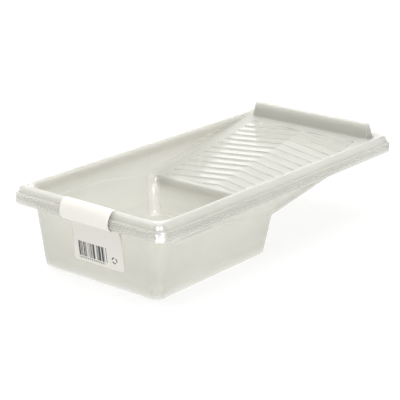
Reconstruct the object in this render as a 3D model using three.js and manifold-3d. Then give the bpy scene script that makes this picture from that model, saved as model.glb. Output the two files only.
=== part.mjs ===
// A sealed nest of thin thermoformed liners for a mini paint roller tray, held by one paper label.
// Millimetres, +Z up, +X across the tray, +Y from the deep basin's front to the head of the ramp.
// Every liner is one formed sheet: a rim like an upturned channel with a lip round its edge, a deep
// drafted basin, a ramp with chevron steps, and a hollow upstand across the head.
import * as THREE from "three";
import { ConvexGeometry } from "three/addons/geometries/ConvexGeometry.js";
import { mergeVertices } from "three/addons/utils/BufferGeometryUtils.js";
import Module from "manifold-3d";

const wasm = await Module();
wasm.setup();

// ---- Driving dimensions. A liner's own frame has z = 0 at the underside of its lip. ----
const WIDTH = 150;                 // across the lip
const LENGTH = 308.6;              // along the lip
const LINERS = 5;
const NEST_PITCH = 1.7;            // height that each nested liner adds

const LIP_RADIUS = 10.5;           // plan corner of the lip
const LIP_THICKNESS = 0.5;
const SKIRT_FOOT = 2.2;            // inset of the skirt where it meets the lip
const SKIRT_HEAD = 3.7;            // inset of the skirt where the bead starts to turn over
const BEAD_TURN = 4.6;             // height at which the bead starts to turn over
const BEAD_OUTER = 5.1;            // inset of the bead top's outer edge
const BEAD_HEIGHT = 5.8;
const FLARE_DEPTH = 0.9;           // depth of the slope from the bead top to the tub's wall
const FLARE_LEAN = 1.2;            // how much faster than the wall that slope runs out
const RIM_THICKNESS = 0.4;

const DRAFT = 0.134;               // sideways run of a tub wall per unit of height
const SIDE_INSET = 9.4;            // tub wall at z = 0, from the lip's long edge
const FRONT_INSET = 8.5;           // and from the lip's front edge
const HEAD_INSET = 9;              // and from the lip's head edge
const TUB_RADIUS = 14;             // plan corner of the tub at z = 0
const FLOOR_RADIUS = 8;            // plan corner of the tub at the floor
const WALL_THICKNESS = 0.17;
const DEPTH = 53.1;                // lip underside to basin underside
const FLOOR_THICKNESS = 0.8;
const FLOOR_CHAMFER = 2.4;
const FLOOR_CHAMFER_RUN = 1.92;    // sideways run of the chamfer
const STEP_FOOT = 147.8;           // y of the step wall at the basin's underside

const RAMP_START = 152.2;          // y of the ramp's lower end
const RAMP_START_Z = -20.4;        // underside of the ramp there
const RAMP_SLOPE = 0.172;
const RAMP_END = 287;              // y where the ramp levels out in front of the upstand
const RAMP_THICKNESS = 0.45;

const STEP_PITCH = 9.8;            // between chevron steps, along the centre line
const STEP_HEIGHT = 1.1;
const STEP_RUN = 8.8;              // length of one sloping tread
const STEP_RISER_LEAN = 0.3;       // how far a riser leans back
const FIRST_APEX = 159.6;          // y of the lowest step's apex
const CHEVRON_SLOPE = 0.23;        // how far an arm falls back towards the basin, per unit of x
const STEP_COUNT = 14;
const FIELD_HALF_WIDTH = 53;       // the stepped field
const FIELD_START = 156.5;
const FIELD_END = 279;

const UPSTAND_HALF_LENGTH = 60.8;
const UPSTAND_FRONT = 287.2;
const UPSTAND_BACK = 297;
const UPSTAND_TOP = 16.6;
const UPSTAND_FRONT_DRAFT = 0.15;
const UPSTAND_BACK_DRAFT = 0.26;
const UPSTAND_ROUND = 1.7;         // height of the round over the top
const UPSTAND_ROUND_RUN = 1.36;    // and its sideways run
const UPSTAND_RADIUS = 2.2;        // plan corner
const UPSTAND_WALL = 0.13;

const PAPER_THICKNESS = 0.14;
const PAPER_GAP = 0.2;             // between the paper and the sheet that it lies on
const LABEL_WIDTH = 49;
const LABEL_CENTRE = 3;            // the label sits a little to one side
const LABEL_DROP = 37;             // how far the label hangs below the lowest lip
const LABEL_END_LAP = 0.6;         // how far the label laps onto the slope inside the bead
const LABEL_END_DIP = 0.1;
const LABEL_BEND_BACK = 2.3;       // where the label leaves the bead: distance before its outer edge
const LABEL_BEND_DIP = 1.1;        // and depth under its top
const LABEL_TUCK = 1.8;            // depth under the lips at which the label meets the wall
const LABEL_TUCK_INSET = 0.6;

const CORNER_STEPS = 4;
const OVERSHOOT = 4;               // how far a cutting solid runs past what it cuts

// ---- Solids ----
function toSolid(geometry) {
  geometry.deleteAttribute("normal");
  if (geometry.getAttribute("uv")) {
    geometry.deleteAttribute("uv");
  }
  const merged = mergeVertices(geometry, 1e-5);
  const vertProperties = new Float32Array(merged.getAttribute("position").array);
  const triVerts = new Uint32Array(merged.getIndex().array);
  return new wasm.Manifold(new wasm.Mesh({ numProp: 3, vertProperties, triVerts }));
}

function toGeometry(solid) {
  const mesh = solid.getMesh();
  const geometry = new THREE.BufferGeometry();
  geometry.setAttribute("position", new THREE.BufferAttribute(mesh.vertProperties, 3));
  geometry.setIndex(new THREE.BufferAttribute(mesh.triVerts, 1));
  geometry.computeVertexNormals();
  return geometry;
}

const hull = (points) => toSolid(new ConvexGeometry(points));

// The corner points of a rounded rectangle at one height.
function ring({ x, y0, y1, radius, z }) {
  const r = Math.max(radius, 0.2);
  const centres = [
    [x - r, y1 - r],
    [-x + r, y1 - r],
    [-x + r, y0 + r],
    [x - r, y0 + r],
  ];
  return centres.flatMap(([cx, cy], corner) =>
    Array.from({ length: CORNER_STEPS + 1 }, (_, step) => {
      const angle = ((corner + step / CORNER_STEPS) * Math.PI) / 2;
      return new THREE.Vector3(cx + r * Math.cos(angle), cy + r * Math.sin(angle), z);
    })
  );
}

// A ring that follows the lip's outline at a given inset.
function rimRing(inset, z, radius) {
  return ring({ x: WIDTH / 2 - inset, y0: inset, y1: LENGTH - inset, radius, z });
}

// The tub's section at height z; offset moves it into the tub, and y1 ends it at the step wall.
function tubRing(z, offset, backWall) {
  const run = -z * DRAFT;
  return ring({
    x: WIDTH / 2 - SIDE_INSET - run - offset,
    y0: FRONT_INSET + run + offset,
    y1: backWall(z) - offset,
    radius: TUB_RADIUS + ((TUB_RADIUS - FLOOR_RADIUS) * z) / DEPTH - offset,
    z,
  });
}

const stepWall = (z) => STEP_FOOT + (z + DEPTH) * DRAFT;
const headWall = (z) => LENGTH - HEAD_INSET + z * DRAFT;

function basin(offset, floor, top) {
  return hull([
    ...tubRing(top, offset, stepWall),
    ...tubRing(floor + FLOOR_CHAMFER, offset, stepWall),
    ...tubRing(floor, offset + FLOOR_CHAMFER_RUN, stepWall),
  ]);
}

// The underside of the ramp, which levels out before the upstand.
const rampZ = (y) => RAMP_START_Z + RAMP_SLOPE * (Math.min(y, RAMP_END) - RAMP_START);

// All the room above the ramp between the tub's walls.
function rampRoom(offset, lift, top) {
  const long = hull([...tubRing(top, offset, headWall), ...tubRing(-DEPTH, offset, headWall)]);
  const profile = new THREE.Shape([
    new THREE.Vector2(0, rampZ(0) + lift),
    new THREE.Vector2(RAMP_END, rampZ(RAMP_END) + lift),
    new THREE.Vector2(LENGTH, rampZ(LENGTH) + lift),
    new THREE.Vector2(LENGTH, top + OVERSHOOT),
    new THREE.Vector2(0, top + OVERSHOOT),
  ]);
  return long.intersect(sideways(profile, 0, WIDTH));
}

// A profile drawn in (y, z), drawn out along x about a centre.
function sideways(profile, centre, width) {
  const geometry = new THREE.ExtrudeGeometry(profile, { depth: width, bevelEnabled: false });
  const axes = new THREE.Matrix4().makeBasis(
    new THREE.Vector3(0, 1, 0),
    new THREE.Vector3(0, 0, 1),
    new THREE.Vector3(1, 0, 0)
  );
  geometry.applyMatrix4(axes);
  geometry.translate(centre - width / 2, 0, 0);
  return toSolid(geometry);
}

// ---- The rim ----
function skirt(thickness) {
  const top = BEAD_HEIGHT - thickness;
  const foot = thickness > 0 ? -OVERSHOOT : 0;
  const lean = (SKIRT_HEAD - SKIRT_FOOT) / BEAD_TURN;
  return hull([
    ...rimRing(SKIRT_FOOT + thickness + foot * lean, foot, LIP_RADIUS - SKIRT_FOOT - thickness),
    ...rimRing(SKIRT_HEAD + thickness, BEAD_TURN - thickness, LIP_RADIUS - SKIRT_HEAD - thickness),
    ...rimRing(BEAD_OUTER + thickness, top, LIP_RADIUS - BEAD_OUTER - thickness / 2),
  ]);
}

// The slope from the bead top down into the tub, as the room inside it.
function flare(offset, top) {
  const foot = BEAD_HEIGHT - FLARE_DEPTH;
  return hull([
    ...tubRing(foot, offset, headWall),
    ...tubRing(top, offset - (top - foot) * FLARE_LEAN, headWall),
  ]);
}

// ---- The upstand across the head ----
function upstand(wall, drop) {
  const foot = drop > 0 ? -OVERSHOOT : rampZ(RAMP_END);
  const section = (z, round) => {
    const rise = z - rampZ(RAMP_END);
    return ring({
      x: UPSTAND_HALF_LENGTH - rise * DRAFT - wall - round,
      y0: UPSTAND_FRONT + rise * UPSTAND_FRONT_DRAFT + wall + round,
      y1: UPSTAND_BACK - rise * UPSTAND_BACK_DRAFT - wall - round,
      radius: UPSTAND_RADIUS - wall - round,
      z: z - drop,
    });
  };
  const shoulder = UPSTAND_TOP - UPSTAND_ROUND;
  const turns = [0, 1, 2].map((turn) => (turn * Math.PI) / 6);
  return hull([
    ...section(foot, 0),
    ...turns.flatMap((turn) =>
      section(shoulder + UPSTAND_ROUND * Math.sin(turn), UPSTAND_ROUND_RUN * (1 - Math.cos(turn)))
    ),
    ...section(UPSTAND_TOP, UPSTAND_ROUND_RUN),
  ]);
}

// ---- The chevron steps ----
// Each arm is a wedge: a riser towards the basin and a tread that falls back to the ramp.
function stepArm(apex, side, drop) {
  const reach = FIELD_HALF_WIDTH + OVERSHOOT;
  const corner = (x, along, height) => {
    const y = apex - x * CHEVRON_SLOPE + along;
    return new THREE.Vector3(side * x, y, rampZ(y) + RAMP_THICKNESS + height - drop);
  };
  const ends = [0, reach].map((x) => [
    corner(x, 0, -RAMP_THICKNESS / 2),
    corner(x, 0, 0),
    corner(x, STEP_RISER_LEAN, STEP_HEIGHT),
    corner(x, STEP_RUN, 0),
    corner(x, STEP_RUN, -RAMP_THICKNESS / 2),
  ]);
  return hull(ends.flat());
}

function steps(drop, margin) {
  const width = 2 * (FIELD_HALF_WIDTH - margin);
  const length = FIELD_END - FIELD_START - 2 * margin;
  const field = new THREE.BoxGeometry(width, length, LENGTH);
  field.translate(0, (FIELD_START + FIELD_END) / 2, 0);
  const all = Array.from({ length: STEP_COUNT }, (_, row) => {
    const apex = FIRST_APEX + row * STEP_PITCH;
    return stepArm(apex, 1, drop).add(stepArm(apex, -1, drop));
  }).reduce((sum, step) => sum.add(step));
  return all.intersect(toSolid(field));
}

// ---- One liner ----
function linerSolid() {
  const top = BEAD_HEIGHT + OVERSHOOT;
  const lip = hull([...rimRing(0, 0, LIP_RADIUS), ...rimRing(0, LIP_THICKNESS, LIP_RADIUS)]);
  const tub = basin(0, -DEPTH, BEAD_HEIGHT - RIM_THICKNESS).add(
    rampRoom(0, 0, BEAD_HEIGHT - RIM_THICKNESS)
  );
  const tubBelow = basin(0, -DEPTH, top).add(rampRoom(0, 0, top));
  const below = skirt(RIM_THICKNESS).subtract(tubBelow.add(flare(WALL_THICKNESS - RIM_THICKNESS, top)));
  const above = basin(WALL_THICKNESS, FLOOR_THICKNESS - DEPTH, top)
    .add(rampRoom(WALL_THICKNESS, RAMP_THICKNESS, top))
    .add(flare(WALL_THICKNESS, top));
  return lip
    .add(skirt(0))
    .add(tub)
    .subtract(below)
    .subtract(above)
    .add(upstand(0, 0))
    .subtract(upstand(UPSTAND_WALL, RIM_THICKNESS))
    .add(steps(0, 0))
    .subtract(steps(RAMP_THICKNESS, RAMP_THICKNESS));
}

// ---- The label ----
// Its path in (y, z) over the rim and down the front wall, z = 0 at the lowest lip's underside.
function labelPath() {
  const topLip = (LINERS - 1) * NEST_PITCH + LIP_THICKNESS;
  const beadTop = topLip - LIP_THICKNESS + BEAD_HEIGHT + PAPER_GAP;
  const beadInner = FRONT_INSET - BEAD_HEIGHT * DRAFT - FLARE_DEPTH * FLARE_LEAN;
  const wall = (z) => FRONT_INSET - z * DRAFT - PAPER_GAP;
  return [
    new THREE.Vector2(beadInner + LABEL_END_LAP, beadTop - LABEL_END_DIP),
    new THREE.Vector2(BEAD_OUTER, beadTop),
    new THREE.Vector2(BEAD_OUTER - LABEL_BEND_BACK, beadTop - LABEL_BEND_DIP),
    new THREE.Vector2(-PAPER_GAP, topLip + 2 * PAPER_GAP),
    new THREE.Vector2(-PAPER_GAP, -PAPER_GAP * 2),
    new THREE.Vector2(LABEL_TUCK_INSET, -LABEL_TUCK / 2),
    new THREE.Vector2(wall(-LABEL_TUCK), -LABEL_TUCK),
    new THREE.Vector2(wall(-LABEL_DROP), -LABEL_DROP),
  ];
}

// Moves a path outwards by a distance, mitred at its bends.
function offsetPath(path, distance) {
  const normals = path.slice(1).map((point, index) => {
    const along = point.clone().sub(path[index]).normalize();
    return new THREE.Vector2(along.y, -along.x);
  });
  return path.map((point, index) => {
    const before = normals[Math.max(index - 1, 0)];
    const after = normals[Math.min(index, normals.length - 1)];
    const mitre = before.clone().add(after).normalize();
    return point.clone().addScaledVector(mitre, distance / mitre.dot(after));
  });
}

function labelSolid() {
  const inside = labelPath();
  const outside = offsetPath(inside, PAPER_THICKNESS);
  return sideways(new THREE.Shape([...inside, ...outside.reverse()]), LABEL_CENTRE, LABEL_WIDTH);
}

// ---- Assembly: the origin is the centre of the base, so everything shifts by the same amounts ----
const LABEL_FRONT = -PAPER_GAP - PAPER_THICKNESS;
const product = new THREE.Group();
product.position.set(0, -(LENGTH + LABEL_FRONT) / 2, DEPTH);

const linerMaterial = () =>
  new THREE.MeshStandardMaterial({ color: 0xd9d9cf, roughness: 0.35, metalness: 0 });
const paperMaterial = () =>
  new THREE.MeshStandardMaterial({ color: 0xf3efe6, roughness: 0.7, metalness: 0 });

const linerGeometry = toGeometry(linerSolid());
for (let index = 0; index < LINERS; index += 1) {
  const liner = new THREE.Mesh(linerGeometry, linerMaterial());
  liner.name = `liner_${index + 1}`;
  liner.position.z = index * NEST_PITCH;
  product.add(liner);
}

const label = new THREE.Mesh(toGeometry(labelSolid()), paperMaterial());
label.name = "label";
product.add(label);

export default product;
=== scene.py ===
"""A sealed nest of disposable paint roller tray liners: five milky formed sheets and a paper label."""

import math

import bpy
import numpy as np
from mathutils import Matrix, Vector


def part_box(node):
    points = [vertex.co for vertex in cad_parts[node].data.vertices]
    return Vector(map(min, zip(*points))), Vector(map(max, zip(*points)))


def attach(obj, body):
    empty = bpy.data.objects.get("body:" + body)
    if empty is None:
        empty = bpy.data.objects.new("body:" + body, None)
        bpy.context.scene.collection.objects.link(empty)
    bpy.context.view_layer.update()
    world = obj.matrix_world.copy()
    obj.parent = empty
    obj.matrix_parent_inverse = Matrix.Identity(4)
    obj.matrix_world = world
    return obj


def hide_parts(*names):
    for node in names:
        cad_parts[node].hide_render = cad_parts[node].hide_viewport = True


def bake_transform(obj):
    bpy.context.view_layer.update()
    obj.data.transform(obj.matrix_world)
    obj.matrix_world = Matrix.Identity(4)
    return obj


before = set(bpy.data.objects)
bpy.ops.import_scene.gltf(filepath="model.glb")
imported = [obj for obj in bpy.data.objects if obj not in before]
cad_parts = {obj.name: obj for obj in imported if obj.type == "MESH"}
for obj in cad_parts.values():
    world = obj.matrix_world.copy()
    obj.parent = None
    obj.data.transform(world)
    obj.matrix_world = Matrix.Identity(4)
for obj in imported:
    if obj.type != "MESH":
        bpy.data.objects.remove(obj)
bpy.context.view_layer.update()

# ---- Sizes in millimetres. Each liner has a frame of its own: z = 0 at the underside of its lip,
# ---- y = 0 at the lip's front edge, x = 0 on the centre line.
MM = 0.001
LINERS = ["liner_1", "liner_2", "liner_3", "liner_4", "liner_5"]
low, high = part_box(LINERS[0])
HALF_WIDTH = (high.x - low.x) / 2 / MM
LENGTH = (high.y - low.y) / MM
NEST_PITCH = (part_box(LINERS[1])[0].z - low.z) / MM
FRONT_Y = low.y / MM
DEPTH = 53.1
UPSTAND_TOP = (high.z - low.z) / MM - DEPTH

# The lip, the skirt that rises from it and the round bead, by distance from the lip's edge.
LIP_RADIUS = 10.5  # of the lip's corners, seen from above
LIP_SURFACE = 0.4
LIP_ROUND = 0.12
LIP_FALL = 2.0  # slope of the lip's rounded edge
LIP_FOOT = -0.85  # the hem under the lip's edge ends here
LIP_RETURN = 0.5  # and turns inwards this far
SKIRT_FOOT = 2.0
SKIRT_SLOPE = 3.0
SKIRT_ROUND = 0.7
BEAD_TOP = 5.65
BEAD_ROUND = 1.7
BEAD_CREST = 6.6
BEAD_SHOULDER = 4.0
BEAD_CROWN = 4.4
BEAD_INNER_ROUND = 1.36  # between the bead and the walls inside it

# The walls and the basin.
DRAFT = 0.134  # walls lean out this far for each millimetre of height
SIDE_INSET = 9.5
FRONT_INSET = 8.6
HEAD_INSET = 9.1
TUB_RADIUS = 15.1
FLOOR_Z = -52.6
FLOOR_FILLET = 3.2
STEP_FOOT = 147.8  # the step between basin and ramp
STEP_BROW = 1.3
STEP_CORNER = 7.5
BASIN_BACK = STEP_FOOT + DEPTH * DRAFT
BASIN_MARGIN = 2.0  # past the basin's back by this much, there is only the ramp

# The ramp.
RAMP_START = 152.2
RAMP_START_Z = -20.1
RAMP_SLOPE = 0.172
RAMP_END = 287.0
RAMP_FILLET = 2.2

# The chevron steps pressed in the ramp.
STEP_PITCH = 9.8
STEP_HEIGHT = 1.15
STEP_RUN = 8.8
RISER_RUN = 0.35
FIRST_APEX = 159.6
APEX_SLACK = 0.0098  # lets the first riser's foot count as part of the field
CHEVRON_SLOPE = 0.23
FIELD_HALF_WIDTH = 53.0
FIELD_START = 156.5
FIELD_END = 279.0
FIELD_EDGE = 0.35  # the field's edges fade over this distance to each side
FIELD_ROWS = 14

# The upstand across the head.
UPSTAND_HALF_LENGTH = 60.6
UPSTAND_FRONT = 287.4
UPSTAND_BACK = 296.8
UPSTAND_FOOT_Z = 3.2
UPSTAND_FRONT_DRAFT = 0.15
UPSTAND_BACK_DRAFT = 0.26
UPSTAND_ROUND = 1.9
UPSTAND_ROUND_LEAN = 0.06  # flattens the slope that the top's round starts from
UPSTAND_RIDGE_ROUND = 1.0
UPSTAND_END_ROUND = 1.6
UPSTAND_FILLET = 1.2
UPSTAND_TOP_GAP = 0.1  # keeps the top under the CAD solid's
UPSTAND_MARGIN = 6.0  # the upstand joins the sheet from this far in front of its foot

# The shallow raised panel in each side wall. Its crest drops in an arch towards the back.
PANEL_RELIEF = 0.14
PANEL_LEDGE = 0.8
PANEL_FRONT = 22.0
PANEL_FRONT_FADE = 14.0
PANEL_BACK = 147.0
PANEL_BACK_FADE = 1.2
PANEL_CREST = -9.5
PANEL_FALL = 11.5
PANEL_ARCH_START = 50.0
PANEL_ARCH_POWER = 2.4

# How much plastic the eye looks through, square to the sheet. Forming stretches it unevenly. Its lean from
# side to side is painted shade, and its thin clear lines down the step's corners are a painted highlight.
EDGE_DEPTH = 5.0
RIM_DEPTH = 3.3
RIM_FADE = (6.6, 8.6)  # from the lip's edge
RAMP_DEPTH = 5.0
RAMP_FADE = (1.2, 3.0)  # above the ramp's plane
RAMP_FRONT_FADE = (-1.5, 1.0)  # from the ramp's start
UPSTAND_DEPTH = 5.5
UPSTAND_FADE = (-2.0, -1.0)  # from the upstand's foot
UPSTAND_END_FADE = (1.0, 3.0)  # past the upstand's ends
LEAST_DEPTH = 1.0  # no part of the sheet looks shallower than this
BASE_DEPTH = 0.45  # the floor and the foot of the walls, before the least depth is kept
BASE_BAND = 14.0  # height over the floor at which the walls reach their middle depth
MID_DEPTH = 1.3
SIDE_SHADE_LEAN = 0.22  # painted shade: deepens the right wall and thins the left one, by up to this share, so the right wall looks darker and the left lighter
CORNER_X = 45.0
CORNER_Y = 28.0
CORNER_SPREAD = (17.0, 22.0)
CORNER_THINNING = 0.25
# painted highlight: the plastic is made much clearer along thin lines down the step's corners, so they
# show as bright lines
HIGHLIGHT_CLEARING = 0.93
HIGHLIGHT_LINES = ((-3.4, 1.8), (1.8, 1.5))  # painted highlight lines down the step's corners: centre, half width
HIGHLIGHT_FRONT = STEP_FOOT - 12
HIGHLIGHT_TOP = RAMP_START_Z - 2

# The grid that the sheet is made on. Its rings turn from the lip's corner into a sharp one further in.
RING_INSETS = (0, 9.4, 16.5, 24, 40)
RING_RADII = (LIP_RADIUS, 14.6, 8.5, 4, 0.01)
CORNER_REACH = 40.0
EDGE_BAND = 24.0  # the lines that follow the lip's edge end here
EDGE_GATHER = 0.02  # share of their spacing that lines keep past the ends of the stepped field
STEP_PHASES = (-1.04, -0.94, -0.04, 0.06, 0.14, 0.21, 0.3, 0.42, 1.0, 5.0)  # lines along each step
HEM_ROUND = 0.12

# The paper label.
LABEL_LEFT = -22.0
LABEL_RIGHT = 26.2
PANEL_LEFT = -19.0
PANEL_RIGHT = 28.6
PANEL_FLARE = 2.0
LABEL_DROP = 37.0
LABEL_GAP = 0.25
LABEL_CORNER = 2.6
LABEL_BOW = 1.3
LABEL_BOW_HEIGHT = 4.5  # the paper bows out most at this height
LABEL_BOW_SPREAD = 5.0
LABEL_BOW_LEFT = 0.35  # the left edge bows this much as far as the right
LABEL_LINES = (120, 49)  # along and across
PAPER_THICKNESS = 0.14
PAPER_UV = 0.01  # UV units per millimetre


# ---- The shape of the formed sheet, as a height over (x, y) ----
def inner_corner(level, steep, slope, radius):
    """The larger of two heights, where a steep wall rises from a level one through a round corner."""
    angle = math.atan(slope)
    tangent = radius * math.tan(angle / 2)
    across = (steep - level) / slope
    arc = radius - np.sqrt(np.clip(radius**2 - (across + tangent) ** 2, 0, None))
    rise = np.where(across > tangent * math.cos(angle), steep - level, arc)
    return level + np.where(across < -tangent, 0.0, rise)


def outer_corner(level, steep, slope, radius):
    """The smaller of two heights, through a round corner."""
    return -inner_corner(-level, -steep, slope, radius)


def reach_past(x, y, half_x, y0, y1):
    """How far a point lies outside a rectangle, which makes rounded rings round it."""
    dx = np.maximum(np.abs(x) - half_x, 0)
    dy = np.maximum(np.maximum(y0 - y, y - y1), 0)
    inside = np.maximum(np.maximum(np.abs(x) - half_x, np.maximum(y0 - y, y - y1)), -TUB_RADIUS)
    return np.where((dx > 0) | (dy > 0), np.hypot(dx, dy), inside)


def smooth_step(value, start, end):
    t = np.clip((value - start) / (end - start), 0, 1)
    return t * t * (3 - 2 * t)


def panel_relief(y, z):
    """The side walls' shallow raised panel, which ends in an arch below the rim."""
    past = np.clip((y - PANEL_ARCH_START) / (PANEL_BACK - PANEL_ARCH_START), 0, 1)
    crest = PANEL_CREST - PANEL_FALL * past**PANEL_ARCH_POWER
    under = smooth_step(crest - z, 0.0, PANEL_LEDGE)
    front = smooth_step(y, PANEL_FRONT, PANEL_FRONT + PANEL_FRONT_FADE)
    back = 1 - smooth_step(y, PANEL_BACK - PANEL_BACK_FADE, PANEL_BACK)
    return PANEL_RELIEF * under * front * back


def wall_height(x, y, back, corner):
    """The drafted wall round a room that ends at y = back. Its front corners tighten towards the floor,
    and its back corners keep one radius."""
    core = TUB_RADIUS
    past = reach_past(x, y, HALF_WIDTH - SIDE_INSET - core, FRONT_INSET + core, back - core)
    inset = core - past
    to_side = HALF_WIDTH - SIDE_INSET - np.abs(x)
    to_back = back - y
    apart = np.clip(np.abs(to_side - to_back), 0, corner)
    tight = (to_side + to_back) / 2 - corner + np.sqrt(2 * corner**2 - apart**2) / 2
    square = np.minimum(to_side, to_back)
    behind = np.where(np.abs(to_side - to_back) < corner, tight, square)
    inset = np.where(y > back / 2, behind, inset)
    return (panel_relief(y, -inset / DRAFT) - inset) / DRAFT


def ramp_height(x, y):
    plane = RAMP_START_Z + RAMP_SLOPE * (np.minimum(y, RAMP_END) - RAMP_START)
    along = y + np.abs(x) * CHEVRON_SLOPE - FIRST_APEX
    phase = np.mod(along, STEP_PITCH)
    rise = smooth_step(phase, 0, RISER_RUN)
    fall = 1 - np.clip((phase - RISER_RUN) / (STEP_RUN - RISER_RUN), 0, 1)
    field = (
        smooth_step(FIELD_HALF_WIDTH - np.abs(x), -FIELD_EDGE, FIELD_EDGE)
        * smooth_step(y - FIELD_START, -FIELD_EDGE, FIELD_EDGE)
        * smooth_step(FIELD_END - y, -FIELD_EDGE, FIELD_EDGE)
        * (along > -APEX_SLACK)
    )
    return plane + STEP_HEIGHT * np.minimum(rise, fall) * field


def upstand_height(x, y):
    top = UPSTAND_TOP - UPSTAND_TOP_GAP
    front = UPSTAND_FOOT_Z + (y - UPSTAND_FRONT) / UPSTAND_FRONT_DRAFT
    back = UPSTAND_FOOT_Z + (UPSTAND_BACK - y) / UPSTAND_BACK_DRAFT
    end = UPSTAND_FOOT_Z + (UPSTAND_HALF_LENGTH - np.abs(x)) / DRAFT
    faces = outer_corner(front, back, 1 / UPSTAND_BACK_DRAFT, UPSTAND_RIDGE_ROUND)
    faces = outer_corner(faces, end, 1 / DRAFT, UPSTAND_END_ROUND)
    return outer_corner(top, faces, 1 / (UPSTAND_FRONT_DRAFT + UPSTAND_ROUND_LEAN), UPSTAND_ROUND)


def rim_height(inset):
    """The lip, the skirt and the bead's outer round, by distance from the lip's edge."""
    lip = LIP_SURFACE - LIP_FALL * np.maximum(LIP_ROUND - inset, 0)
    skirt = LIP_SURFACE + (inset - SKIRT_FOOT) * SKIRT_SLOPE
    lower = inner_corner(lip, skirt, SKIRT_SLOPE, SKIRT_ROUND)
    from_crest = np.clip(np.abs(inset - BEAD_CREST), 0, BEAD_CREST - BEAD_SHOULDER)
    crown = BEAD_TOP - from_crest**2 / (2 * BEAD_CROWN)
    return outer_corner(crown, lower, SKIRT_SLOPE, BEAD_ROUND)


def sheet_height(x, y, inset):
    wall_slope = 1 / DRAFT
    basin = wall_height(x, y, BASIN_BACK, STEP_CORNER)
    basin = inner_corner(FLOOR_Z, basin, wall_slope, FLOOR_FILLET)
    long_wall = wall_height(x, y, LENGTH - HEAD_INSET, TUB_RADIUS)
    ramp = inner_corner(ramp_height(x, y), long_wall, wall_slope, RAMP_FILLET)
    tub = outer_corner(ramp, basin, wall_slope, STEP_BROW)
    tub = np.where(y > BASIN_BACK + BASIN_MARGIN, ramp, tub)
    covered = outer_corner(rim_height(inset), tub, wall_slope, BEAD_INNER_ROUND)
    upstand_slope = 1 / UPSTAND_FRONT_DRAFT
    with_upstand = inner_corner(covered, upstand_height(x, y), upstand_slope, UPSTAND_FILLET)
    return np.where(y > UPSTAND_FRONT - UPSTAND_MARGIN, with_upstand, covered)


def wall_depth(x, y, z):
    """The plastic depth of the drawn basin, least at the foot of its walls and in its front corners. The
    right wall is made deeper than the left as painted shade, and thin clear lines down the step's corners
    are a painted highlight.
    """
    risen = smooth_step(z, FLOOR_Z + FLOOR_FILLET, FLOOR_Z + BASE_BAND)
    depth = BASE_DEPTH + (MID_DEPTH - BASE_DEPTH) * risen
    spread = np.hypot(np.clip(np.abs(x) - CORNER_X, 0, None), np.clip(CORNER_Y - y, 0, None))
    corner = smooth_step(spread, *CORNER_SPREAD)
    # painted shade: the right wall is made deeper than the left, so it looks darker
    depth = depth * (1 - CORNER_THINNING * corner) * (1 + SIDE_SHADE_LEAN * x / HALF_WIDTH)
    turn = (HALF_WIDTH - SIDE_INSET - np.abs(x)) - (BASIN_BACK - y)
    # painted highlight: clearer plastic along thin lines down the step's corners
    at_step = (z < HIGHLIGHT_TOP) * (np.abs(x) > CORNER_X) * (y > HIGHLIGHT_FRONT)
    for centre, half_width in HIGHLIGHT_LINES:
        near = 1 - smooth_step(np.abs(turn - centre), half_width * 0.5, half_width)
        depth = depth * (1 - HIGHLIGHT_CLEARING * near * at_step)
    return depth


def plastic_depth(x, y, z, inset):
    """How deep the plastic looks at each point of the sheet: most at the rim, the ramp and the upstand."""
    plane = RAMP_START_Z + RAMP_SLOPE * (y - RAMP_START)
    ramp = (1 - smooth_step(z - plane, *RAMP_FADE)) * smooth_step(y - RAMP_START, *RAMP_FRONT_FADE)
    rim = 1 - smooth_step(inset, *RIM_FADE)
    head = smooth_step(y - UPSTAND_FRONT, *UPSTAND_FADE)
    within = 1 - smooth_step(np.abs(x) - UPSTAND_HALF_LENGTH, *UPSTAND_END_FADE)
    wall = wall_depth(x, y, z)
    depth = np.maximum(wall + (RAMP_DEPTH - wall) * ramp, wall + (RIM_DEPTH - wall) * rim)
    return np.maximum(depth, LEAST_DEPTH + (UPSTAND_DEPTH - LEAST_DEPTH) * head * within)


# ---- The sheet's mesh: a grid whose outer lines follow the rounded lip ----
def lines(*spans):
    """Grid lines from spans of (start, end, count)."""
    parts = [np.linspace(a, b, n, endpoint=False) for a, b, n in spans]
    return np.concatenate(parts + [[spans[-1][1]]])


def edge_lines(wall_start, wall_end, inner_end):
    """Distances from the lip's edge, close together where the sheet bends."""
    return lines(
        (0, LIP_ROUND, 1),
        (LIP_ROUND, SKIRT_FOOT - 0.5, 2),
        (SKIRT_FOOT - 0.5, 5.6, 16),
        (5.6, wall_start - 1.6, 3),
        (wall_start - 1.6, wall_start + 0.8, 10),
        (wall_start + 0.8, wall_start + 3.2, 20),
        (wall_start + 3.2, wall_end - 1.0, 8),
        (wall_end - 1.0, wall_end + 4.0, 14),
        (wall_end + 4.0, 21.4, 1),
        (21.4, 22.6, 6),
        (22.6, inner_end, 1),
    )


def rounded_corner(a, b):
    """Moves grid points near a corner, at distances a and b from its two edges, onto rounded rings."""
    ring = np.minimum(a, b)
    reach = np.maximum(a, b) - ring
    radius = np.interp(ring, RING_INSETS, RING_RADII)
    angle = np.clip(1 - reach / radius, 0, 1) * math.pi / 4
    inside = reach < radius
    nearer = np.where(inside, ring + radius * (1 - np.cos(angle)), ring)
    further = np.where(inside, ring + radius * (1 - np.sin(angle)), ring + reach)
    return np.where(a <= b, nearer, further), np.where(a <= b, further, nearer)


def squeezed(value, start, end):
    """Gathers the grid lines that run past the two ends of the stepped field close against those ends."""
    inside = np.clip(value, start, end)
    return inside + EDGE_GATHER * (value - inside)


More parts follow.
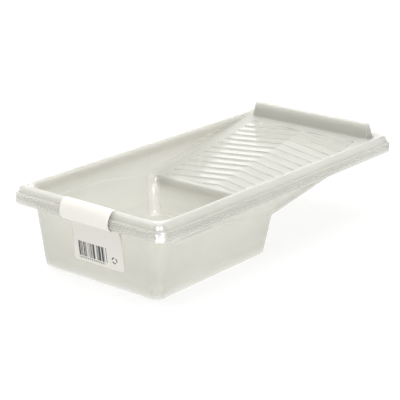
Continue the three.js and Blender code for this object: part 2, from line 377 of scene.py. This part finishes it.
def sheet_grid():
    """x, y and the distance from the lip's edge at each crossing of the grid's lines."""
    side = edge_lines(SIDE_INSET, SIDE_INSET + 7.1, EDGE_BAND)
    centre = lines((EDGE_BAND, HALF_WIDTH - 0.2, 20), (HALF_WIDTH - 0.2, HALF_WIDTH, 1))
    half = np.concatenate([side, centre[1:]])
    xs = np.concatenate([half, 2 * HALF_WIDTH - half[-2::-1]])

    front = edge_lines(FRONT_INSET, FRONT_INSET + 7.1, EDGE_BAND)
    floor = lines((EDGE_BAND, 143.0, 40))[1:]
    step = lines((143.0, FIELD_START - 0.4, 38))[1:]
    rows = np.arange(FIELD_ROWS)[:, None] * STEP_PITCH + FIRST_APEX + np.array(STEP_PHASES)[None, :]
    rows = rows.ravel()
    rows = np.concatenate([rows, [rows[-1] + 3]])
    head = lines((280.2, 285.2, 6), (285.2, 299.0, 56), (299.0, LENGTH - 9.8, 2))
    back = LENGTH - edge_lines(HEAD_INSET, HEAD_INSET + 0.7, 10.5)[::-1]
    back = back[back > LENGTH - 9.7]
    ys = np.concatenate([front, floor, step, rows, head, back])
    in_field = np.zeros(len(ys), bool)
    first = len(front) + len(floor) + len(step)
    in_field[first : first + len(rows)] = True

    a, v = np.meshgrid(xs, ys, indexing="ij")
    lean = np.minimum(np.abs(a - HALF_WIDTH), FIELD_HALF_WIDTH) * CHEVRON_SLOPE
    b = np.where(in_field[None, :], squeezed(v - lean, FIELD_START, FIELD_END), v)
    near_x = np.minimum(a, 2 * HALF_WIDTH - a)
    near_y = np.minimum(b, LENGTH - b)
    round_x, round_y = rounded_corner(near_x, near_y)
    corner = (near_x < CORNER_REACH) & (near_y < CORNER_REACH)
    near_x = np.where(corner, round_x, near_x)
    near_y = np.where(corner, round_y, near_y)
    x = np.where(a < HALF_WIDTH, near_x, 2 * HALF_WIDTH - near_x) - HALF_WIDTH
    y = np.where(b < LENGTH / 2, near_y, LENGTH - near_y)
    cx = np.maximum(LIP_RADIUS - near_x, 0)
    cy = np.maximum(LIP_RADIUS - near_y, 0)
    in_corner = (cx > 0) & (cy > 0)
    inset = np.where(in_corner, LIP_RADIUS - np.hypot(cx, cy), np.minimum(near_x, near_y))
    return x, y, inset


def grid_faces(index):
    """The quads between neighbouring points of a grid of point numbers."""
    quads = np.stack([index[:-1, :-1], index[1:, :-1], index[1:, 1:], index[:-1, 1:]], axis=-1)
    return quads.reshape(-1, 4)


def outline(index):
    """The grid's outer points in order, once round."""
    return np.concatenate([index[:, 0], index[-1, 1:], index[-2::-1, -1], index[0, -2:0:-1]])


def sheet_mesh():
    """The formed sheet, with the hem that hangs from its lip's edge."""
    x, y, inset = sheet_grid()
    z = sheet_height(x, y, inset)
    n, m = x.shape
    points = np.stack([x, y, z], axis=-1).reshape(-1, 3)
    index = np.arange(n * m).reshape(n, m)
    quads = grid_faces(index)
    loop = outline(index)
    i = np.clip(loop // m, 1, n - 2)
    j = np.clip(loop % m, 1, m - 2)
    rim = points[loop]
    inward = points[index[i, j]] - rim
    inward[:, 2] = 0
    inward /= np.linalg.norm(inward, axis=1)[:, None]
    count = len(loop)
    turn = np.roll(np.arange(count), -1)
    upper = loop
    for drop, back_in in ((LIP_FOOT + HEM_ROUND, 0.0), (LIP_FOOT, HEM_ROUND), (LIP_FOOT, LIP_RETURN)):
        ring = rim + inward * back_in
        ring[:, 2] = drop
        lower = len(points) + np.arange(count)
        points = np.concatenate([points, ring])
        quads = np.concatenate([quads, np.stack([upper[turn], upper, lower, lower[turn]], axis=-1)])
        upper = lower
    mesh = bpy.data.meshes.new("liner_sheet")
    mesh.from_pydata((points * MM).tolist(), [], quads.tolist())
    depth = np.full(len(points), EDGE_DEPTH)
    depth[: n * m] = plastic_depth(x, y, z, inset).ravel()
    depth[loop] = EDGE_DEPTH
    mesh.attributes.new("plastic_depth", "FLOAT", "POINT").data.foreach_set("value", depth)
    mesh.shade_smooth()
    return mesh


# ---- The paper label: over the bead, down past the lips, back under them and down the front wall ----
def rounded_path(points, passes):
    """Cuts a path's corners, a quarter of each side at a time."""
    for _ in range(passes):
        cut = [points[0]]
        for first, second in zip(points[:-1], points[1:]):
            cut += [first * 0.75 + second * 0.25, first * 0.25 + second * 0.75]
        points = np.array(cut + [points[-1]])
    return points


def even_path(points, count):
    """Points at even steps along a path, and how far along it each one is."""
    steps = np.linalg.norm(np.diff(points, axis=0), axis=1)
    reach = np.concatenate([[0], np.cumsum(steps)])
    marks = np.linspace(0, reach[-1], count)
    return np.stack([np.interp(marks, reach, points[:, k]) for k in (0, 1)], axis=-1), marks


def label_path():
    """The label's side view as (y, z), from inside the top bead to its lower edge."""
    top_lip = (len(LINERS) - 1) * NEST_PITCH
    bead = top_lip + BEAD_TOP + LABEL_GAP
    past_lips = -LABEL_GAP - 0.3

    def wall(z):
        return FRONT_INSET - z * DRAFT - LABEL_GAP

    corners = [
        (7.4, bead),
        (4.6, bead + 0.3),
        (2.4, bead - 0.5),
        (past_lips, top_lip + 1.5),
        (past_lips, LIP_FOOT - LABEL_GAP),
        (0.9, LIP_FOOT - 0.9),
        (wall(-2.6), -2.6),
        (wall(-LABEL_DROP), -LABEL_DROP),
    ]
    return even_path(rounded_path(np.array(corners), 3), LABEL_LINES[0])


def label_mesh():
    """The label as a thin closed shell: its strip over the rim, and its wider panel on the wall."""
    path, marks = label_path()
    across = np.linspace(0, 1, LABEL_LINES[1])
    t = np.meshgrid(path[:, 0], across, indexing="ij")[1]
    y, z = (np.repeat(path[:, k : k + 1], len(across), axis=1) for k in (0, 1))
    to_end = marks[-1] - np.repeat(marks[:, None], len(across), axis=1)
    hang = smooth_step(-z, -0.5, 2.6)
    flare = PANEL_FLARE * np.clip(-z / LABEL_DROP, 0, 1)
    left = LABEL_LEFT + (PANEL_LEFT - LABEL_LEFT) * hang - flare
    right = LABEL_RIGHT + (PANEL_RIGHT - LABEL_RIGHT) * hang
    into_corner = np.clip(LABEL_CORNER - to_end, 0, None)
    trim = LABEL_CORNER - np.sqrt(np.clip(LABEL_CORNER**2 - into_corner**2, 0, None))
    x = left + trim + (right - left - 2 * trim) * t
    lifted = np.exp(-(((z - LABEL_BOW_HEIGHT) / LABEL_BOW_SPREAD) ** 2)) * LABEL_BOW
    y = y - lifted * (smooth_step(t, 0.7, 1.0) + LABEL_BOW_LEFT * smooth_step(1 - t, 0.8, 1.0))
    outer = np.stack([x, y, z], axis=-1)
    normal = np.cross(np.gradient(outer, axis=1), np.gradient(outer, axis=0))
    normal /= np.linalg.norm(normal, axis=2)[:, :, None]
    if normal[LABEL_LINES[0] // 2, LABEL_LINES[1] // 2, 1] > 0:
        normal = -normal
    inner = outer - normal * PAPER_THICKNESS

    n, m = x.shape
    front = np.arange(n * m).reshape(n, m)
    loop = outline(front)
    turn = np.roll(loop, -1)
    edge = np.stack([turn, loop, loop + n * m, turn + n * m], axis=-1)
    back = grid_faces(front)[:, ::-1] + n * m
    quads = np.concatenate([grid_faces(front), np.roll(back, 1, axis=1), edge])
    points = np.concatenate([outer.reshape(-1, 3), inner.reshape(-1, 3)])
    points += [0, FRONT_Y, DEPTH]
    mesh = bpy.data.meshes.new("label_paper")
    mesh.from_pydata((points * MM).tolist(), [], quads.tolist())
    place = np.stack([x - (LABEL_LEFT + LABEL_RIGHT) / 2, to_end], axis=-1).reshape(-1, 2)
    place = np.concatenate([place, place]) * PAPER_UV
    layer = mesh.uv_layers.new(name="paper")
    order = np.empty(len(mesh.loops), int)
    mesh.loops.foreach_get("vertex_index", order)
    layer.data.foreach_set("uv", place[order].ravel())
    mesh.shade_smooth()
    return mesh


# ---- Materials ----
CLARITY = 0.78  # share of light that passes straight through one unit of plastic depth
PALENESS = 0.998  # and how little each unit darkens the milky colour
LEAST_FACING = 0.08  # limits how much thicker the sheet looks edge-on
BODY_GLOW = 0.7  # share of the milky body that lights up from behind
PLASTIC_TINTS = ((0.948, 0.945, 0.914, 1), (0.968, 0.965, 0.934, 1))
CLEAR_TINT = (1.0, 0.998, 0.985, 1)
SHINE_FACING = 0.06  # share of gloss face-on
SHINE_GRAZING = 0.9  # and added to it edge-on

# The print, in millimetres across from the label's middle and up from its lower edge.
PAPER_TINTS = ((0.83, 0.808, 0.74, 1), (0.87, 0.848, 0.78, 1))
INK_COLOUR = (0.02, 0.02, 0.025, 1)
BAR_MODULE = 0.4
BAR_GAPS = 0.4  # share of the modules left blank
BARS_ACROSS = (-17.6, 10.2)
BARS_UP = (4.3, 16.4)
DASH_PITCH = 1.9
DASH_SHARE = 0.55
DASH_INK = 0.8
DASHES_ACROSS = (-18.2, 8.0)
DASHES_UP = (2.2, 3.7)
RING_CENTRE = (17.6, 8.0)
RING_BAND = (1.7, 2.7)
RING_TURN = 5.25
RING_SHARE = 0.72
PANEL_SHADE_UP = (6.0, 33.0)  # painted shade: the panel darkens between these heights, most towards its top, under the lips
PANEL_SHADE_TONE = (0.95, 0.86)
# the painted shade gives way to the paper's full tone over this span, where the strip rises past the lips
SHADE_END_UP = (34.0, 39.0)


def node(tree, kind, **inputs):
    made = tree.nodes.new(kind)
    for name, value in inputs.items():
        made.inputs[name.replace("_", " ")].default_value = value
    return made


def math_node(tree, operation, first, second=0.0):
    made = tree.nodes.new("ShaderNodeMath")
    made.operation = operation
    for slot, value in enumerate((first, second)):
        if isinstance(value, (int, float)):
            made.inputs[slot].default_value = value
        else:
            tree.links.new(value, made.inputs[slot])
    return made.outputs[0]


def product(tree, first, *others):
    for other in others:
        first = math_node(tree, "MULTIPLY", first, other)
    return first


def between(tree, value, low, high):
    """1 where a value lies between two others, else 0."""
    above = math_node(tree, "GREATER_THAN", value, low)
    below = math_node(tree, "LESS_THAN", value, high)
    return product(tree, above, below)


def ranged(tree, value, low, high, start, end):
    """Maps low..high to start..end, and stays there outside them."""
    made = tree.nodes.new("ShaderNodeMapRange")
    for slot, number in zip(("From Min", "From Max", "To Min", "To Max"), (low, high, start, end)):
        made.inputs[slot].default_value = number
    tree.links.new(value, made.inputs["Value"])
    return made.outputs["Result"]


def scaled(tree, colour, factor):
    made = node(tree, "ShaderNodeVectorMath")
    made.operation = "SCALE"
    tree.links.new(colour, made.inputs[0])
    tree.links.new(factor, made.inputs["Scale"])
    return made.outputs["Vector"]


def noise(tree, place, scale, detail):
    made = node(tree, "ShaderNodeTexNoise", Scale=scale, Detail=detail)
    tree.links.new(place, made.inputs["Vector"])
    return made.outputs["Fac"]


def bumped(tree, height, strength, distance, surface):
    """Gives a shader a bump."""
    made = node(tree, "ShaderNodeBump", Strength=strength, Distance=distance)
    tree.links.new(height, made.inputs["Height"])
    tree.links.new(made.outputs["Normal"], surface.inputs["Normal"])


def tinted(tree, clouds, tints):
    """A soft mottle between two close colours."""
    made = tree.nodes.new("ShaderNodeValToRGB")
    for element, position, colour in zip(made.color_ramp.elements, (0.3, 0.7), tints):
        element.position = position
        element.color = colour
    tree.links.new(clouds, made.inputs["Fac"])
    return made.outputs["Color"]


def mixed(tree, share, first, second):
    """A mix of two shaders."""
    made = node(tree, "ShaderNodeMixShader")
    if isinstance(share, float):
        made.inputs["Fac"].default_value = share
    else:
        tree.links.new(share, made.inputs["Fac"])
    tree.links.new(first, made.inputs[1])
    tree.links.new(second, made.inputs[2])
    return made.outputs["Shader"]


def formed_plastic():
    """Milky polypropylene: light soaks through it, and it thickens to the eye where it is seen edge-on."""
    material = bpy.data.materials.new("milky_sheet")
    material.use_nodes = True
    tree = material.node_tree
    tree.nodes.clear()
    link = tree.links.new
    place = node(tree, "ShaderNodeTexCoord").outputs["Object"]
    tint = tinted(tree, noise(tree, place, 38.0, 3.0), PLASTIC_TINTS)
    weight = node(tree, "ShaderNodeLayerWeight", Blend=0.5)
    facing = math_node(tree, "SUBTRACT", 1.0, weight.outputs["Facing"])
    attribute = tree.nodes.new("ShaderNodeAttribute")
    attribute.attribute_name = "plastic_depth"
    depth = attribute.outputs["Fac"]
    path = math_node(tree, "DIVIDE", depth, math_node(tree, "MAXIMUM", facing, LEAST_FACING))
    passing = math_node(tree, "POWER", CLARITY, path)
    dye = scaled(tree, tint, math_node(tree, "POWER", PALENESS, depth))

    surface = node(tree, "ShaderNodeBsdfPrincipled", Roughness=0.5, IOR=1.49)
    surface.inputs["Specular IOR Level"].default_value = 0
    link(dye, surface.inputs["Base Color"])
    bumped(tree, noise(tree, place, 900.0, 2.0), 0.05, 0.0002, surface)
    glow = node(tree, "ShaderNodeBsdfTranslucent")
    link(dye, glow.inputs["Color"])
    body = mixed(tree, BODY_GLOW, surface.outputs["BSDF"], glow.outputs["BSDF"])
    clear = node(tree, "ShaderNodeBsdfTransparent", Color=CLEAR_TINT)
    core = mixed(tree, passing, body, clear.outputs["BSDF"])
    gloss = node(tree, "ShaderNodeBsdfAnisotropic", Roughness=0.04)
    bumped(tree, noise(tree, place, 60.0, 1.0), 0.03, 0.001, gloss)
    grazing = math_node(tree, "POWER", weight.outputs["Facing"], 5.0)
    shine = math_node(tree, "ADD", product(tree, grazing, SHINE_GRAZING), SHINE_FACING)
    out = node(tree, "ShaderNodeOutputMaterial")
    link(mixed(tree, shine, core, gloss.outputs["BSDF"]), out.inputs["Surface"])
    return material


def bar_print(tree, across, up):
    """A plain made-up pattern of bars."""
    module = math_node(tree, "FLOOR", math_node(tree, "DIVIDE", across, BAR_MODULE))
    random = tree.nodes.new("ShaderNodeTexWhiteNoise")
    random.noise_dimensions = "1D"
    tree.links.new(module, random.inputs["W"])
    bars = math_node(tree, "GREATER_THAN", random.outputs["Value"], BAR_GAPS)
    return product(tree, bars, between(tree, across, *BARS_ACROSS), between(tree, up, *BARS_UP))


def dash_print(tree, across, up):
    """A row of short dashes under the bars."""
    pulse = math_node(tree, "FRACT", math_node(tree, "DIVIDE", across, DASH_PITCH))
    dashes = math_node(tree, "LESS_THAN", pulse, DASH_SHARE)
    within = (between(tree, across, *DASHES_ACROSS), between(tree, up, *DASHES_UP))
    return product(tree, dashes, *within, DASH_INK)


def ring_print(tree, across, up):
    """A small ring broken in three."""
    side = math_node(tree, "SUBTRACT", across, RING_CENTRE[0])
    rise = math_node(tree, "SUBTRACT", up, RING_CENTRE[1])
    square = math_node(tree, "ADD", product(tree, side, side), product(tree, rise, rise))
    radius = math_node(tree, "SQRT", square)
    turn = math_node(tree, "DIVIDE", math_node(tree, "ARCTAN2", rise, side), 2 * math.pi / 3)
    third = math_node(tree, "FRACT", math_node(tree, "ADD", turn, RING_TURN))
    arcs = math_node(tree, "LESS_THAN", third, RING_SHARE)
    return product(tree, between(tree, radius, *RING_BAND), arcs)


def label_paper():
    """Cream paper with plain bars, a row of dashes and a broken ring, and painted shade on its panel under
    the lips: no lettering.
    """
    material = bpy.data.materials.new("label_paper")
    material.use_nodes = True
    tree = material.node_tree
    link = tree.links.new
    surface = tree.nodes["Principled BSDF"]
    surface.inputs["Roughness"].default_value = 0.55
    place = tree.nodes.new("ShaderNodeUVMap")
    place.uv_map = "paper"
    split = tree.nodes.new("ShaderNodeSeparateXYZ")
    link(place.outputs["UV"], split.inputs[0])
    across = product(tree, split.outputs["X"], 1 / PAPER_UV)
    up = product(tree, split.outputs["Y"], 1 / PAPER_UV)

    ink = math_node(tree, "MAXIMUM", dash_print(tree, across, up), ring_print(tree, across, up))
    ink = math_node(tree, "MAXIMUM", bar_print(tree, across, up), ink)
    fibre = noise(tree, place.outputs["UV"], 160.0, 4.0)
    # painted shade: the panel is darker than the strip, most just under the lips
    painted_shade = ranged(tree, up, *PANEL_SHADE_UP, *PANEL_SHADE_TONE)
    tone = math_node(tree, "MAXIMUM", painted_shade, ranged(tree, up, *SHADE_END_UP, 0.0, 1.0))
    printed = tree.nodes.new("ShaderNodeMix")
    printed.data_type = "RGBA"
    share, plain, inked = (printed.inputs[slot] for slot in (0, 6, 7))
    link(ink, share)
    link(scaled(tree, tinted(tree, fibre, PAPER_TINTS), tone), plain)
    inked.default_value = INK_COLOUR
    link(printed.outputs[2], surface.inputs["Base Color"])
    bumped(tree, fibre, 0.15, 0.0001, surface)
    return material


# ---- Stage, lights and camera ----
FLOOR_SIZE = 30
FLOOR_LEVEL = -0.0005
FLOOR_GREY = (0.28, 0.28, 0.28, 1)
FLOOR_GLOW = 0.76
BRIGHT_SIDE = (-0.7, 0.5, 0.5)
SKY_SPAN = (-0.6, 0.9)
SKY_GLOW = (0.4, 1.12)
BACKDROP_TOP = 20.2  # degrees above the horizon
BACKDROP_EDGE = 0.008
BACKDROP_GLOW = 1.15
NEAR_CORNER = (0.07, -0.15, 0.06)
STRIP = (0.09, 0.6)
WHITE = (1, 1, 1, 1)

CAMERA_AZIMUTH = math.radians(38.59)
CAMERA_ELEVATION = math.radians(18.55)
CAMERA_ROLL = math.radians(0.46)
CAMERA_DISTANCE = 1.0854
CAMERA_AIM = (0, -0.018, 0.0347)
CAMERA_LENS = 121.8


def stage():
    """A plain pale floor that glows a little, so that it comes out white."""
    bpy.ops.mesh.primitive_plane_add(size=FLOOR_SIZE, location=(0, 0, FLOOR_LEVEL))
    floor = bpy.context.object
    floor.name = "floor"
    paint = bpy.data.materials.new("floor_white")
    paint.use_nodes = True
    surface = paint.node_tree.nodes["Principled BSDF"]
    surface.inputs["Base Color"].default_value = FLOOR_GREY
    surface.inputs["Roughness"].default_value = 0.9
    surface.inputs["Specular IOR Level"].default_value = 0
    surface.inputs["Emission Color"].default_value = WHITE
    surface.inputs["Emission Strength"].default_value = FLOOR_GLOW
    floor.data.materials.append(paint)
    bpy.context.scene.world = studio_world()


def studio_world():
    """Dim in front, brighter behind and above, with a bright backdrop that ends low behind the tray."""
    world = bpy.data.worlds.new("studio")
    world.use_nodes = True
    tree = world.node_tree
    place = node(tree, "ShaderNodeTexCoord")
    towards = node(tree, "ShaderNodeVectorMath")
    towards.operation = "DOT_PRODUCT"
    towards.inputs[1].default_value = Vector(BRIGHT_SIDE).normalized()
    tree.links.new(place.outputs["Generated"], towards.inputs[0])
    fade = ranged(tree, towards.outputs["Value"], *SKY_SPAN, *SKY_GLOW)
    split = tree.nodes.new("ShaderNodeSeparateXYZ")
    tree.links.new(place.outputs["Generated"], split.inputs[0])
    top = math.sin(math.radians(BACKDROP_TOP))
    below = ranged(tree, split.outputs["Z"], top - BACKDROP_EDGE, top + BACKDROP_EDGE, BACKDROP_GLOW, 0)
    behind = ranged(tree, split.outputs["Y"], 0.0, 0.4, 0, 1)
    sky = tree.nodes["Background"]
    sky.inputs["Color"].default_value = WHITE
    strength = math_node(tree, "ADD", fade, product(tree, below, behind))
    tree.links.new(strength, sky.inputs["Strength"])
    return world


def softbox(name, place, aim, size, power, glint=False):
    """A rectangular light. A glint only shows in shiny reflections."""
    data = bpy.data.lights.new(name, "AREA")
    data.shape = "RECTANGLE"
    data.size, data.size_y = size
    data.energy = power
    lamp = bpy.data.objects.new(name, data)
    bpy.context.scene.collection.objects.link(lamp)
    lamp.location = place
    lamp.visible_camera = False
    lamp.visible_diffuse = not glint
    lamp.visible_transmission = not glint
    lamp.rotation_euler = (Vector(aim) - Vector(place)).to_track_quat("-Z", "Y").to_euler()


def camera():
    level = math.cos(CAMERA_ELEVATION)
    ahead = Vector(
        (
            -math.sin(CAMERA_AZIMUTH) * level,
            math.cos(CAMERA_AZIMUTH) * level,
            -math.sin(CAMERA_ELEVATION),
        )
    )
    right = Vector((math.cos(CAMERA_AZIMUTH), math.sin(CAMERA_AZIMUTH), 0))
    up = right.cross(ahead)
    side = right * math.cos(CAMERA_ROLL) + up * math.sin(CAMERA_ROLL)
    top = up * math.cos(CAMERA_ROLL) - right * math.sin(CAMERA_ROLL)
    data = bpy.data.cameras.new("camera")
    data.lens = CAMERA_LENS
    data.sensor_width = 36
    eye = bpy.data.objects.new("camera", data)
    bpy.context.scene.collection.objects.link(eye)
    turn = Matrix((side, top, -ahead)).transposed().to_4x4()
    eye.matrix_world = Matrix.Translation(Vector(CAMERA_AIM) - ahead * CAMERA_DISTANCE) @ turn
    bpy.context.scene.camera = eye


camera()
stage()
softbox("overhead", (-0.35, 0.05, 1.2), (0, 0, 0), (1.8, 1.8), 14)
softbox("front_left", (0.33, -0.87, 0.2), NEAR_CORNER, STRIP, 45, glint=True)
softbox("front_right", (0.73, -0.49, 0.2), NEAR_CORNER, STRIP, 60, glint=True)
plastic = formed_plastic()
sheet = sheet_mesh()
sheet.materials.append(plastic)
for index, name in enumerate(LINERS):
    liner = bpy.data.objects.new(f"{name}_sheet", sheet)
    bpy.context.scene.collection.objects.link(liner)
    liner.location = (0, FRONT_Y * MM, (DEPTH + index * NEST_PITCH) * MM)
    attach(liner, name)
    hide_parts(name)
label = bpy.data.objects.new("label_sheet", label_mesh())
bpy.context.scene.collection.objects.link(label)
label.data.materials.append(label_paper())
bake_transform(label)
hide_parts("label")

scene = bpy.context.scene
scene.view_settings.view_transform = "Standard"
scene.cycles.caustics_reflective = False
scene.cycles.max_bounces = 24
scene.cycles.diffuse_bounces = 16
scene.cycles.transparent_max_bounces = 48
